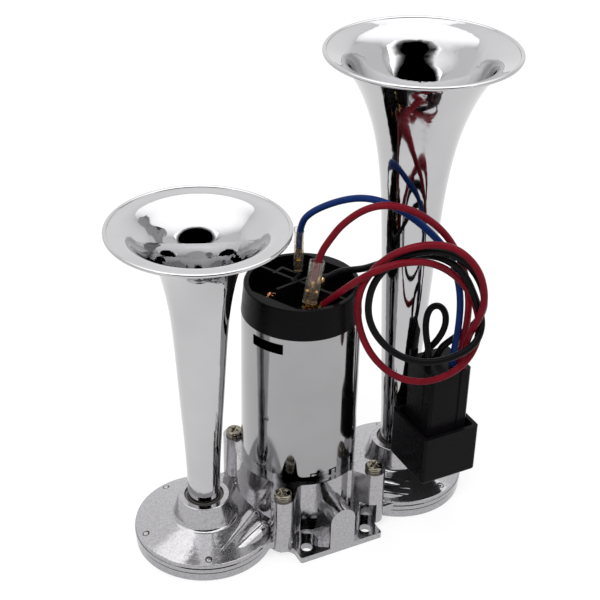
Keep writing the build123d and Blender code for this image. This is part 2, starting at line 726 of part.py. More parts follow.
with BuildPart() as armature:
    with BuildSketch(Plane.XY.offset(armature_z)):
        Circle(armature_r)
        Circle(shaft_r, mode=Mode.SUBTRACT)
        with PolarLocations(armature_r - slot_depth / 2 - tooth_tip, armature_slots):
            Rectangle(slot_depth, slot_w, mode=Mode.SUBTRACT)
        with PolarLocations(armature_r, armature_slots):
            Rectangle(4 * tooth_tip, slot_mouth, mode=Mode.SUBTRACT)
    extrude(amount=armature_h)
finish(armature.part, "armature")

with BuildPart() as windings:
    for z in (armature_z - winding_h, armature_z + armature_h):
        with BuildSketch(Plane.XY.offset(z)):
            Circle(winding_r)
            Circle(shaft_r + winding_gap, mode=Mode.SUBTRACT)
        extrude(amount=winding_h)
    with BuildSketch(Plane.XY.offset(armature_z)):
        with PolarLocations(armature_r - slot_depth / 2 - tooth_tip, armature_slots):
            Rectangle(slot_depth - 2 * winding_gap, slot_w - 2 * winding_gap)
    extrude(amount=armature_h)
finish(windings.part, "armature_windings")

with BuildPart() as commutator:
    with BuildSketch(Plane.XY.offset(commutator_z)):
        Circle(commutator_r)
        Circle(shaft_r, mode=Mode.SUBTRACT)
        with PolarLocations(commutator_r, commutator_bars):
            Rectangle(2 * bar_slit_depth, bar_slit_w, mode=Mode.SUBTRACT)
    extrude(amount=commutator_h)
finish(commutator.part, "commutator")

for name, z in (("lower_bearing", bearing_low_z), ("upper_bearing", bearing_high_z)):
    with BuildPart() as bearing:
        with BuildSketch(Plane.XY.offset(z)):
            Circle(bearing_r)
            Circle(shaft_r + running_gap, mode=Mode.SUBTRACT)
        extrude(amount=bearing_h)
    finish(bearing.part, name)

brush_y = commutator_r + brush_gap + brush_l / 2
brush_z = commutator_z + commutator_h / 2
with BuildPart() as brushes:
    with Locations((0, brush_y, brush_z), (0, -brush_y, brush_z)):
        Box(brush_w, brush_l, brush_h)
finish(brushes.part, "brushes")

with BuildPart() as brush_boxes:
    box_bottom = brush_z - brush_h / 2 - brush_clear - brush_box_wall
    with BuildSketch(Plane.XY.offset(box_bottom)):
        with Locations((0, brush_y + brush_box_set), (0, -brush_y - brush_box_set)):
            Rectangle(brush_w + 2 * brush_clear + 2 * brush_box_wall, brush_l)
    extrude(amount=cap_floor_z - box_bottom)
    with BuildSketch(Plane.XZ):
        with Locations((0, brush_z)):
            Rectangle(brush_w + 2 * brush_clear, brush_h + 2 * brush_clear)
    extrude(amount=tube_in_r, both=True, mode=Mode.SUBTRACT)
finish(brush_boxes.part, "brush_boxes")

# ---- end cap: brush end bell, open above, with ribs on its floor -----------------------------------------------
floor_top = cap_floor_z + cap_floor_t
with BuildPart() as end_cap:
    with BuildSketch(Plane.XZ) as section:
        with BuildLine():
            Polyline((0, cap_floor_z), (spigot_r - cap_wall, cap_floor_z),
                     (spigot_r - cap_wall, cap_z - spigot_h), (spigot_r, cap_z - spigot_h),
                     (spigot_r, cap_z), (housing_tube_r, cap_z), (cap_top_r, cap_top), (0, cap_top),
                     close=True)
        make_face()
        fillet(section.vertices().filter_by(lambda v: v.Y > cap_top - 0.01 and v.X > 1), radius=edge_fillet)
    revolve(axis=Axis.Z)
    with BuildSketch(Plane.XY.offset(floor_top)):
        Circle(cap_opening_r)
        Rectangle(2 * flat_distance, 3 * cap_opening_r, rotation=flat_angle, mode=Mode.INTERSECT)
    extrude(amount=cap_top - floor_top, mode=Mode.SUBTRACT)
    with BuildSketch(Plane.XY.offset(floor_top)):
        Rectangle(rib_t, 2 * cap_opening_r + cap_wall, rotation=flat_angle)
        for points in (cross_rib + ((cap_opening_r + rib_t, cross_rib_end),), brush_bay):
            with BuildLine() as line:
                Polyline(*points)
            trace(line.line, line_width=rib_t)
    extrude(amount=cap_h - (floor_top - cap_z) - rib_sink)
    with BuildSketch(Plane.XY.offset(floor_top)):
        with Locations(ring_boss):
            Circle(ring_boss_r)
    extrude(amount=ring_boss_h)
    with BuildSketch(Plane.XY.offset(floor_top)):
        with Locations(ring_boss):
            Circle(ring_boss_r - rib_t)
    extrude(amount=ring_boss_h, mode=Mode.SUBTRACT)
    with BuildSketch(Plane.XY.offset(floor_top)):
        with Locations((red_plate[0], red_plate[1])):
            Rectangle(red_plate[2], red_plate[3])
    extrude(amount=red_plate_z - floor_top)
    with BuildSketch(Plane.XY.offset(floor_top)):
        with Locations(blue_blade):
            Rectangle(blue_pad[0], blue_pad[1])
    extrude(amount=blue_pad[2])
    with BuildSketch(Plane.XY.offset(bearing_high_z)):
        Circle(bearing_r + bearing_wall)
    extrude(amount=cap_floor_z - bearing_high_z)
    with BuildSketch(Plane.XY.offset(bearing_high_z)):
        Circle(bearing_r + bearing_gap)
    extrude(amount=bearing_h, mode=Mode.SUBTRACT)
finish(end_cap.part, "end_cap")

# ---- terminals, crimped receptacles and their clear sleeves --------------------------------------------------------
red_dir = Vector(math.sin(math.radians(red_lean)), 0, math.cos(math.radians(red_lean)))
across = Vector(1, 0, 0).rotate(Axis.Z, -terminal_turn)
red_base = Vector(*red_blade, red_plate_z + plate_t)
blue_base = Vector(*blue_blade, floor_top + blue_pad[2])
blades = ((Plane(origin=blue_base, x_dir=across.rotate(Axis.Z, 90), z_dir=(0, 0, 1)), blue_up),
          (Plane(origin=red_base, x_dir=across, z_dir=red_dir), red_up))
feed_start = Vector(*red_feed_route[0])
feed_dir = (Vector(*red_feed_route[1]) - feed_start).normalized()
black_start = Vector(*black_route[0])
black_dir = (Vector(*black_route[1]) - black_start).normalized()

with BuildPart() as terminals:
    for plane, up in blades:
        with BuildSketch(plane):
            Rectangle(tab_w, blade_t)
        extrude(amount=up + tab_in)
    with BuildSketch(Plane.XY.offset(red_plate_z)):
        with Locations((red_plate[0], red_plate[1])):
            Rectangle(red_plate[2] - 1, red_plate[3] - 1)
    extrude(amount=plate_t)
    lug_foot = black_start - black_dir * ferrule_len * 0.7
    with BuildSketch(Plane.XY.offset(floor_top)):
        with Locations((lug_foot.X, lug_foot.Y)):
            Rectangle(lug_w, blade_t)
    extrude(amount=lug_foot.Z - floor_top)
    for start, way in ((feed_start, feed_dir), (black_start, black_dir)):
        with BuildSketch(Plane(origin=start, z_dir=way)):
            Circle(ferrule_r)
        extrude(amount=-ferrule_len)
finish(terminals.part, "motor_terminals")

with BuildPart() as receptacles:
    for plane, up in blades:
        with BuildSketch(plane.offset(up)):
            Rectangle(tab_w + 2 * receptacle_wall, blade_t + 2 * receptacle_wall)
        extrude(amount=receptacle_len)
        with BuildSketch(plane.offset(up + receptacle_len)):
            Circle(barrel_r)
        extrude(amount=wire_in - receptacle_len)
        with BuildSketch(plane.offset(up)):
            Rectangle(tab_w + 2 * blade_gap, blade_t + 2 * blade_gap)
        extrude(amount=tab_in + blade_gap, mode=Mode.SUBTRACT)
finish(receptacles.part, "crimped_receptacles")

with BuildPart() as sleeves:
    for plane, up in blades:
        with BuildSketch(plane.offset(up + sleeve_up)):
            RectangleRounded(sleeve_w, sleeve_t, sleeve_corner_r)
            RectangleRounded(sleeve_w - 2 * sleeve_wall, sleeve_t - 2 * sleeve_wall,
                             sleeve_corner_r - sleeve_wall, mode=Mode.SUBTRACT)
        extrude(amount=sleeve_len)
finish(sleeves.part, "clear_sleeves")

# ---- relay and its socket ---------------------------------------------------------------------------------------------
relay_centre = (relay_x + relay_w / 2, relay_y + relay_w / 2)
relay_floor = relay_z + relay_h - shroud_depth
blade_places = ((-blade_pitch, 0, 90), (blade_pitch, 0, 90), (0, 0, 0), (0, blade_pitch, 0),
                (0, -blade_pitch, 0))

with BuildPart() as relay:
    with BuildSketch(Plane.XY.offset(relay_z)):
        with Locations(relay_centre):
            RectangleRounded(relay_w, relay_w, relay_corner_r)
    extrude(amount=relay_h)
    fillet(relay.edges().group_by(Axis.Z)[0], radius=relay_edge_r)
    with BuildSketch(Plane.XY.offset(relay_floor)):
        with Locations(relay_centre):
            RectangleRounded(relay_w - 2 * shroud_wall, relay_w - 2 * shroud_wall, relay_corner_r)
    extrude(amount=shroud_depth, mode=Mode.SUBTRACT)
finish(relay.part, "relay")

with BuildPart() as relay_blades:
    for x, y, turn in blade_places:
        with BuildSketch(Plane.XY.offset(relay_floor)):
            with Locations((relay_centre[0] + x, relay_centre[1] + y)):
                Rectangle(blade_w, blade_t, rotation=turn)
        extrude(amount=blade_h)
finish(relay_blades.part, "relay_blades")

with BuildPart() as socket:
    with BuildSketch(Plane.XY.offset(relay_floor + socket_clear)):
        with Locations(relay_centre):
            Rectangle(socket_w, socket_w)
        with Locations((relay_centre[0] - socket_w / 2, relay_centre[1] - socket_w / 2 + socket_w * 0.3),
                       (relay_centre[0] + socket_w * 0.2, relay_centre[1] - socket_w / 2)):
            Circle(socket_groove_r, mode=Mode.SUBTRACT)
    extrude(amount=socket_top - relay_floor - socket_clear)
    chamfer(socket.edges().filter_by(Axis.Z).filter_by(
        lambda e: abs(abs(e.center().X - relay_centre[0]) - socket_w / 2) < 0.01
        and abs(abs(e.center().Y - relay_centre[1]) - socket_w / 2) < 0.01), length=socket_chamfer)
    for x, y, turn in blade_places:
        with BuildSketch(Plane.XY.offset(relay_floor + socket_clear)):
            with Locations((relay_centre[0] + x, relay_centre[1] + y)):
                Rectangle(blade_w + 2 * socket_clear, blade_t + 2 * socket_clear, rotation=turn)
        extrude(amount=blade_h, mode=Mode.SUBTRACT)
    with BuildSketch(Plane.XY.offset(well_z)):
        for route in (blue_route, red_route, red_feed_route, black_route, jumper_route, jumper_route[::-1]):
            with Locations(route[-1][:2]):
                Circle(well_r)
    extrude(amount=socket_top - well_z, mode=Mode.SUBTRACT)
    with BuildSketch(Plane.XY.offset(latch_z)):
        with Locations((relay_centre[0] - socket_w / 2 + latch_w / 2 + socket_chamfer,
                        relay_centre[1] + socket_w / 2 + latch_t / 2)):
            Rectangle(latch_w, latch_t)
    extrude(amount=socket_top + latch_proud - latch_z)
finish(socket.part, "relay_socket")

# ---- wires: straight runs joined by tangent arcs --------------------------------------------------------------------------
for name, route, diameter in wires:
    radii = bend_radii(route)
    print(name, "bend radii", [round(r, 1) for r in radii])
    with BuildPart() as wire:
        with BuildLine() as path:
            FilletPolyline(*route, radius=radii)
        with BuildSketch(path.line ^ 0):
            Circle(diameter / 2)
        sweep(path=path.line)
    length = path.wires()[0].length
    section = math.pi * diameter ** 2 / 4
    print(name, "length", round(length, 1), "volume over section times length",
          round(wire.part.volume / (section * length), 4))
    finish(wire.part, name)
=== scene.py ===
import math

import bpy
from mathutils import Matrix, Vector


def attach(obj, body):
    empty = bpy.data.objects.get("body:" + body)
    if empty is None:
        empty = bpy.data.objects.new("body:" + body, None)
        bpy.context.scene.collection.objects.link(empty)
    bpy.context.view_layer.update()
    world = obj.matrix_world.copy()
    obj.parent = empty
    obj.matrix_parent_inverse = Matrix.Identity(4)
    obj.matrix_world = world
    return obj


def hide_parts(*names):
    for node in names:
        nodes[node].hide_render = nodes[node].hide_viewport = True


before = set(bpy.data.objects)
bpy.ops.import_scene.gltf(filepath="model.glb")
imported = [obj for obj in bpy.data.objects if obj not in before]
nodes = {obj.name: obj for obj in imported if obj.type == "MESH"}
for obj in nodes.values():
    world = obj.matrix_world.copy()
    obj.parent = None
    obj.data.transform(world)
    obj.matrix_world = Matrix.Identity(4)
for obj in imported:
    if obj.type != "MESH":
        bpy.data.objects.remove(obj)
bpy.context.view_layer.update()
MM = 0.001

# ---- camera: the photograph's view ------------------------------------------------------------------
CAMERA_PLACE = Vector((-0.22594, -0.42527, 0.40252))
CAMERA_LOOK = Vector((0.3543, 0.7735, -0.5255)).normalized()
CAMERA_ROLL = math.radians(-0.41)
FOCAL_MM = 79.37
SHIFT = (0.1082, 0.0100)

camera_data = bpy.data.cameras.new("camera")
camera_data.sensor_width = 36.0
camera_data.lens = FOCAL_MM
camera_data.shift_x, camera_data.shift_y = SHIFT
camera_data.clip_start = 0.01
camera_data.clip_end = 50.0
camera = bpy.data.objects.new("camera", camera_data)
bpy.context.scene.collection.objects.link(camera)
right = CAMERA_LOOK.cross(Vector((0, 0, 1))).normalized()
up = right.cross(CAMERA_LOOK)
rolled_right = right * math.cos(CAMERA_ROLL) + up * math.sin(CAMERA_ROLL)
rolled_up = rolled_right.cross(CAMERA_LOOK)
axes = Matrix((rolled_right, rolled_up, -CAMERA_LOOK)).transposed()
camera.matrix_world = Matrix.Translation(CAMERA_PLACE) @ axes.to_4x4()
bpy.context.scene.camera = camera
bpy.context.scene.view_settings.view_transform = "Standard"


# ---- materials ----------------------------------------------------------------------------------------
# Noise values up to the first are a finish's dark or smooth end, and from the second its light or rough end.
DARK_END, LIGHT_END = 0.3, 0.7


class Nodes:
    """Builds one material's node tree around its Principled shader."""

    def __init__(self, name, colour, roughness, metallic=0.0):
        self.material = bpy.data.materials.new(name)
        self.material.use_nodes = True
        self.tree = self.material.node_tree
        self.shader = self.tree.nodes["Principled BSDF"]
        self.shader.inputs["Base Color"].default_value = (*colour, 1)
        self.shader.inputs["Roughness"].default_value = roughness
        self.shader.inputs["Metallic"].default_value = metallic
        self.coordinates = self.tree.nodes.new("ShaderNodeTexCoord").outputs["Object"]
        self.normal = None

    def noise(self, scale, detail, roughness=0.5):
        """A noise in the object's own metres."""
        texture = self.tree.nodes.new("ShaderNodeTexNoise")
        texture.inputs["Scale"].default_value = scale
        texture.inputs["Detail"].default_value = detail
        texture.inputs["Roughness"].default_value = roughness
        self.tree.links.new(self.coordinates, texture.inputs["Vector"])
        return texture.outputs["Fac"]

    def ramp(self, value, stops):
        """Turns a noise into colours, from stops of (place, colour)."""
        ramp = self.tree.nodes.new("ShaderNodeValToRGB")
        elements = ramp.color_ramp.elements
        while len(elements) < len(stops):
            elements.new(0.5)
        for element, (position, colour) in zip(elements, stops):
            element.position = position
            element.color = (*colour, 1)
        self.tree.links.new(value, ramp.inputs["Fac"])
        return ramp.outputs["Color"]

    def span(self, value, low, high):
        """Spreads a noise over these values."""
        spread = self.tree.nodes.new("ShaderNodeMapRange")
        spread.inputs["From Min"].default_value = DARK_END
        spread.inputs["From Max"].default_value = LIGHT_END
        spread.inputs["To Min"].default_value = low
        spread.inputs["To Max"].default_value = high
        self.tree.links.new(value, spread.inputs["Value"])
        return spread.outputs["Result"]

    def link(self, socket, target):
        """Feeds one of the shader's inputs."""
        self.tree.links.new(socket, self.shader.inputs[target])

    def bump(self, height, strength, distance):
        """Adds one layer of relief on top of those added before."""
        bump = self.tree.nodes.new("ShaderNodeBump")
        bump.inputs["Strength"].default_value = strength
        bump.inputs["Distance"].default_value = distance
        self.tree.links.new(height, bump.inputs["Height"])
        if self.normal is not None:
            self.tree.links.new(self.normal, bump.inputs["Normal"])
        self.normal = bump.outputs["Normal"]
        self.tree.links.new(self.normal, self.shader.inputs["Normal"])


def shade(colour, amount):
    return tuple(min(1.0, c * amount) for c in colour)


def mottle(colour, dark, light):
    """The two ends of a ramp round one colour."""
    return (DARK_END, shade(colour, dark)), (LIGHT_END, shade(colour, light))


def chrome(name, level, low, high):
    """Plated metal that reflects this share of the light, with faint waves and wipe marks."""
    n = Nodes(name, (level, level, level * 1.02), roughness=0.06, metallic=1.0)
    dark = shade((level, level * 0.993, level * 1.012), 0.95)
    light = shade((level, level * 0.995, level * 1.015), 1.05)
    n.link(n.ramp(n.noise(scale=35, detail=2), ((DARK_END, dark), (LIGHT_END, light))), "Base Color")
    n.link(n.span(n.noise(scale=220, detail=4), low, high), "Roughness")
    n.bump(n.noise(scale=90, detail=2), strength=0.05, distance=0.0006)
    return n.material


def cast_metal():
    """Polished die-cast alloy with a fine grain."""
    n = Nodes("cast_metal", (0.37, 0.365, 0.38), roughness=0.15, metallic=0.94)
    grain = n.noise(scale=1000, detail=4, roughness=0.7)
    n.link(n.ramp(grain, ((0.32, (0.310, 0.305, 0.317)), (0.66, (0.430, 0.423, 0.438)))), "Base Color")
    n.link(n.span(n.noise(scale=420, detail=5, roughness=0.7), 0.07, 0.17), "Roughness")
    n.bump(n.noise(scale=150, detail=3), strength=0.11, distance=0.0012)
    n.bump(n.noise(scale=900, detail=4, roughness=0.6), strength=0.08, distance=0.0003)
    return n.material


def steel(name, colour, low, high):
    """Bare machined metal. low and high are its roughness."""
    n = Nodes(name, colour, roughness=0.2, metallic=1.0)
    n.link(n.ramp(n.noise(scale=500, detail=4), mottle(colour, 0.75, 1.15)), "Base Color")
    n.link(n.span(n.noise(scale=900, detail=3), low, high), "Roughness")
    n.bump(n.noise(scale=700, detail=2), strength=0.08, distance=0.0002)
    return n.material


def plastic(name, colour, low, high, strength=0.08, gloss=0.5):
    """Moulded plastic, rubber or pressed powder. low and high are its roughness."""
    n = Nodes(name, colour, roughness=0.35)
    n.shader.inputs["Specular IOR Level"].default_value = gloss
    n.link(n.ramp(n.noise(scale=60, detail=3), mottle(colour, 0.8, 1.25)), "Base Color")
    n.link(n.span(n.noise(scale=300, detail=3), low, high), "Roughness")
    n.bump(n.noise(scale=1400, detail=3), strength=strength, distance=0.0002)
    return n.material


def insulation(name, colour):
    """A wire's smooth plastic skin."""
    n = Nodes(name, colour, roughness=0.3)
    n.shader.inputs["Specular IOR Level"].default_value = 0.07
    n.link(n.ramp(n.noise(scale=90, detail=3), mottle(colour, 0.82, 1.18)), "Base Color")
    n.link(n.span(n.noise(scale=260, detail=3), 0.22, 0.36), "Roughness")
    n.bump(n.noise(scale=500, detail=2), strength=0.10, distance=0.0003)
    return n.material


def clear():
    """Soft clear tube over the receptacles."""
    n = Nodes("clear_sleeve", (0.93, 0.88, 0.81), roughness=0.12)
    n.shader.inputs["Transmission Weight"].default_value = 0.96
    n.shader.inputs["IOR"].default_value = 1.45
    n.link(n.span(n.noise(scale=400, detail=3), 0.10, 0.30), "Roughness")
    n.bump(n.noise(scale=350, detail=2), strength=0.12, distance=0.0003)
    return n.material


materials = {
    "chrome_plate": chrome("chrome_plate", 0.47, 0.035, 0.075),
    "cast_metal": cast_metal(),
    "screw_steel": steel("screw_steel", (0.21, 0.19, 0.15), 0.06, 0.18),
    "spring_steel": steel("spring_steel", (0.50, 0.50, 0.52), 0.15, 0.30),
    "inner_steel": steel("inner_steel", (0.45, 0.45, 0.46), 0.20, 0.40),
    "sintered_bronze": steel("sintered_bronze", (0.45, 0.30, 0.16), 0.35, 0.55),
    "copper": steel("copper", (0.90, 0.42, 0.22), 0.22, 0.40),
    "brass": steel("brass", (0.83, 0.56, 0.24), 0.14, 0.30),
    "black_rubber": plastic("black_rubber", (0.030, 0.028, 0.027), 0.5, 0.7),
    "vane_plastic": plastic("vane_plastic", (0.05, 0.045, 0.04), 0.4, 0.6),
    "ferrite": plastic("ferrite", (0.04, 0.04, 0.043), 0.5, 0.75, strength=0.3),
    "carbon": plastic("carbon", (0.03, 0.03, 0.032), 0.45, 0.65),
    "black_plastic": plastic("black_plastic", (0.0042, 0.0036, 0.0043), 0.22, 0.38, gloss=0.055),
    "blue_insulation": insulation("blue_insulation", (0.006, 0.024, 0.125)),
    "red_insulation": insulation("red_insulation", (0.165, 0.0055, 0.0135)),
    "black_insulation": insulation("black_insulation", (0.0032, 0.0028, 0.0036)),
    "clear_sleeve": clear(),
}
# The motor housing gets a darker, rougher copy of the chrome. Its lower level is painted shade, standing in
# for the shadowed floor that the housing reflects.
housing_shaded_chrome = chrome("housing_shaded_chrome", 0.325, 0.07, 0.13)
seal_rubber = plastic("seal_rubber", (0.105, 0.098, 0.088), 0.35, 0.55)
cover_steel = steel("cover_screw_steel", (0.40, 0.39, 0.385), 0.10, 0.25)
# Finishes by part: the seals' rubber is their own colour, and the housing's darker chrome is painted shade.
part_finish_and_shade = {"motor_housing": housing_shaded_chrome,
              "short_trumpet_seal": seal_rubber, "tall_trumpet_seal": seal_rubber}
for name, node in nodes.items():
    for place in node.material_slots:
        place.material = part_finish_and_shade.get(name) or materials[place.material.name.split(".")[0]]


# ---- wires ----------------------------------------------------------------------------------------------
WELL_Z = 72.8
BLUE_ROUTE = (
    (7.5, 17.8, 123.3), (7.5, 17.8, 134.4), (10.6, 11.9, 143.4), (17.7, -4.2, 155.0), (24.8, -15.3, 158.4),
    (33.8, -23.5, 154.1), (43.5, -29.4, 145.1), (52.5, -32.1, 133.1), (57.6, -33.4, 116.2),
    (58.4, -33.6, 99.6), (58.3, -31.3, 82.0), (58.3, -31.3, WELL_Z))
RED_ROUTE = (
    (0.2, -10.2, 123.8), (1.9, -10.2, 134.3), (5.6, -13.7, 144.0), (9.2, -16.7, 151.2),
    (16.1, -21.7, 158.8), (24.5, -27.3, 161.5), (35.6, -31.6, 157.0), (46.6, -34.9, 147.0),
    (54.7, -36.3, 132.3), (59.1, -37.1, 117.3), (60.2, -36.9, 103.1), (62.0, -31.3, 82.0),
    (62.0, -31.3, WELL_Z))
RED_FEED_ROUTE = (
    (2.9, -14.1, 113.2), (7.9, -22.8, 124.6), (14.2, -33.3, 136.2), (23.8, -38.1, 140.6),
    (36.8, -39.8, 138.8), (50.4, -39.6, 128.9), (60.1, -41.0, 114.7), (62.9, -43.3, 98.9),
    (55.9, -44.6, 86.1), (40.8, -43.0, 80.4), (26.7, -37.9, 82.8), (16.1, -31.7, 94.3),
    (11.2, -27.3, 110.8), (12.6, -26.6, 127.0), (20.6, -32.2, 141.1), (31.7, -39.9, 148.0),
    (44.2, -45.2, 146.8), (54.6, -48.3, 135.8), (59.0, -49.1, 121.4), (58.0, -47.6, 110.2),
    (56.8, -42.4, 99.0), (60.8, -35.5, 81.0), (60.8, -35.5, WELL_Z))
BLACK_ROUTE = (
    (9.6, -2.0, 117.0), (15.2, -3.0, 120.0), (20.3, -6.2, 121.4), (23.0, -12.2, 124.4),
    (26.9, -21.0, 131.2), (33.7, -31.0, 138.5), (43.8, -37.5, 138.2), (52.2, -42.1, 131.2),
    (57.6, -44.7, 117.9), (62.4, -45.0, 105.0), (56.4, -48.6, 97.6), (43.8, -47.0, 93.1),
    (31.3, -42.8, 93.1), (20.9, -36.2, 99.1), (14.6, -30.3, 111.1), (15.8, -29.2, 126.5),
    (22.3, -32.7, 138.0), (32.7, -37.9, 143.8), (45.9, -41.2, 141.6), (58.8, -41.5, 129.3),
    (67.2, -39.5, 110.6), (67.3, -32.6, 96.1), (61.5, -27.4, 88.8), (54.2, -24.3, 81.4),
    (54.2, -24.3, WELL_Z))
JUMPER_ROUTE = (
    (48.9, -27.1, WELL_Z), (48.9, -27.1, 82.8), (47.6, -24.5, 93.4), (48.3, -23.4, 101.1),
    (50.3, -24.0, 105.4), (53.9, -25.1, 105.3), (56.6, -25.9, 100.8), (56.6, -26.1, 94.1),
    (53.4, -25.5, 87.6), (50.3, -22.0, 81.0), (50.3, -22.0, WELL_Z))
WIRE_D = 3.0
JUMPER_D = 2.9
WIRES = (
    ("blue_lead", "blue_wire", "blue_insulation", BLUE_ROUTE, WIRE_D, 0.1594),
    ("red_lead", "red_wire", "red_insulation", RED_ROUTE, WIRE_D, 0.1567),
    ("red_feed_lead", "red_feed_wire", "red_insulation", RED_FEED_ROUTE, WIRE_D, 0.3263),
    ("black_lead", "black_wire", "black_insulation", BLACK_ROUTE, WIRE_D, 0.2973),
    ("black_jumper_lead", "black_jumper", "black_insulation", JUMPER_ROUTE, JUMPER_D, 0.0716),
)


def wire(name, route, diameter, material):
    """A round wire whose NURBS spline has the route's points as its control points."""
    curve = bpy.data.curves.new(name, "CURVE")
    curve.dimensions = "3D"
    curve.bevel_depth = diameter * MM / 2
    curve.bevel_resolution = 7
    curve.use_fill_caps = True
    curve.resolution_u = 16
    spline = curve.splines.new("NURBS")
    spline.points.add(len(route) - 1)
    for point, place in zip(spline.points, route):
        point.co = (place[0] * MM, place[1] * MM, place[2] * MM, 1)
    spline.order_u = 3
    spline.use_endpoint_u = True
    curve.materials.append(material)
    piece = bpy.data.objects.new(name, curve)
    bpy.context.scene.collection.objects.link(piece)
    return piece


for name, node, slot, route, diameter, length in WIRES:
    piece = wire(name, route, diameter, materials[slot])
    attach(piece, "horn")
    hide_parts(node)


# ---- screws and the small parts ------------------------------------------------------------------------
SCREW_STEPS = 72             # sides round a screw
RECESS_WALL = 0.22           # width of a recess's sloping wall
RECESS_END_SHARE = 0.25      # a recess's depth at the end of its arms, as a share of its full depth


def add_piece(name, vertices, faces, material):
    """A smooth mesh object given in millimetres."""
    mesh = bpy.data.meshes.new(name)
    mesh.from_pydata([Vector(v) * MM for v in vertices], [], faces)
    mesh.materials.append(material)
    for polygon in mesh.polygons:
        polygon.use_smooth = True
    mesh.update()
    piece = bpy.data.objects.new(name, mesh)
    bpy.context.scene.collection.objects.link(piece)
    return piece


def cross_depth(x, y, recess):
    """How far a cross recess is cut below a screw head's face at this place."""
    across, along = sorted((abs(x), abs(y)))
    if along >= recess["reach"]:
        return 0.0
    inside = min(1.0, max(0.0, (recess["half_width"] - across) / RECESS_WALL))
    run = min(1.0, max(0.0, (recess["reach"] - along) / recess["reach"]))
    return recess["depth"] * inside * min(1.0, RECESS_END_SHARE + run)


def screw(centre, profile, turn, recess, flip=False):
    """Vertices and faces of one screw.

    Its rings (radius, z) run from the head's middle outward and then along the shank.
    flip is for a screw whose head is below its shank.
    """
    vertices, faces = [], []
    for ring, (radius, z) in enumerate(profile):
        for step in range(SCREW_STEPS):
            angle = 2 * math.pi * step / SCREW_STEPS
            x, y = radius * math.cos(angle), radius * math.sin(angle)
            cut = 0.0
            if ring < recess["rings"]:
                turned_x = x * math.cos(turn) + y * math.sin(turn)
                turned_y = y * math.cos(turn) - x * math.sin(turn)
                cut = cross_depth(turned_x, turned_y, recess)
            vertices.append((centre[0] + x, centre[1] + y, z + cut if flip else z - cut))
    for ring in range(len(profile) - 1):
        for step in range(SCREW_STEPS):
            a, b = ring * SCREW_STEPS + step, ring * SCREW_STEPS + (step + 1) % SCREW_STEPS
            quad = (a, a + SCREW_STEPS, b + SCREW_STEPS, b)
            faces.append(quad[::-1] if flip else quad)
    first = tuple(range(SCREW_STEPS))
    last = tuple(range((len(profile) - 1) * SCREW_STEPS, len(profile) * SCREW_STEPS))
    faces.append(first[::-1] if flip else first)
    faces.append(last if flip else last[::-1])
    return vertices, faces


def gather(parts):
    """Joins the vertices and faces of several bodies into one list of each."""
    vertices, faces = [], []
    for part_vertices, part_faces in parts:
        base = len(vertices)
        vertices += part_vertices
        faces += [tuple(base + index for index in face) for face in part_faces]
    return vertices, faces


def stand_in(piece, node):
    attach(piece, "horn")
    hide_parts(node)


# the four pan-head screws of the compressor's flange
HEAD_R, HEAD_LOW, HEAD_TOP = 3.9, 30.6, 33.5
HEAD_FACE_R = 2.9            # the slightly domed face inside the rounded edge
HEAD_FACE_SAG = 0.30
HEAD_EDGE_R = 1.0
HEAD_CHAMFER, HEAD_CHAMFER_H = 0.1, 0.12
MIDDLE_R = 0.03              # the first ring closes a head's face
FACE_RINGS, FACE_RING_W = 26, 0.1105
EDGE_RINGS = 8
FLANGE_SHANK_R, FLANGE_TIP_Z, FLANGE_POINT = 2.0, 19.0, 0.4
FLANGE_CROSS = {"rings": FACE_RINGS + 1, "reach": 2.5, "half_width": 0.62, "depth": 1.5}
FLANGE_SCREWS = (((22.63, -29.7), 0.35), ((22.63, 20.3), 0.9), ((-22.63, -29.7), 0.12), ((-22.63, 20.3), 0.6))

head_rings = [(MIDDLE_R, HEAD_TOP)]
for index in range(1, FACE_RINGS + 1):
    radius = MIDDLE_R + index * FACE_RING_W
    head_rings.append((radius, HEAD_TOP - HEAD_FACE_SAG * (radius / HEAD_FACE_R) ** 2))
for index in range(1, EDGE_RINGS + 1):
    angle = math.pi / 2 * index / EDGE_RINGS
    head_rings.append((HEAD_FACE_R + HEAD_EDGE_R * math.sin(angle),
                       HEAD_TOP - HEAD_FACE_SAG - HEAD_EDGE_R * (1 - math.cos(angle))))
head_rings += [(HEAD_R, HEAD_LOW + HEAD_CHAMFER_H), (HEAD_R - HEAD_CHAMFER, HEAD_LOW),
               (FLANGE_SHANK_R, HEAD_LOW), (FLANGE_SHANK_R, FLANGE_TIP_Z + FLANGE_POINT),
               (FLANGE_SHANK_R - FLANGE_POINT, FLANGE_TIP_Z)]
flange_parts = [screw(centre, head_rings, turn, FLANGE_CROSS) for centre, turn in FLANGE_SCREWS]
stand_in(add_piece("flange_pan_screws", *gather(flange_parts), materials["screw_steel"]),
         "flange_screws")

# the covers' screws, set from below, whose thinned tips show in the rims
COVER_SCREWS, COVER_CIRCLE, COVER_Y = 5, 27.9, -4.7
COVER_HEAD_R, COVER_SHANK_R = 2.7, 1.5
COVER_FACE_Z = 0.4
COVER_FACE_RINGS, COVER_RING_W = 19, 0.118
COVER_TURNS, TURN_PITCH, TURN_DEPTH = 6, 0.9, 0.16
COVER_CROSS = {"rings": COVER_FACE_RINGS + 1, "reach": 1.8, "half_width": 0.45, "depth": 1.0}

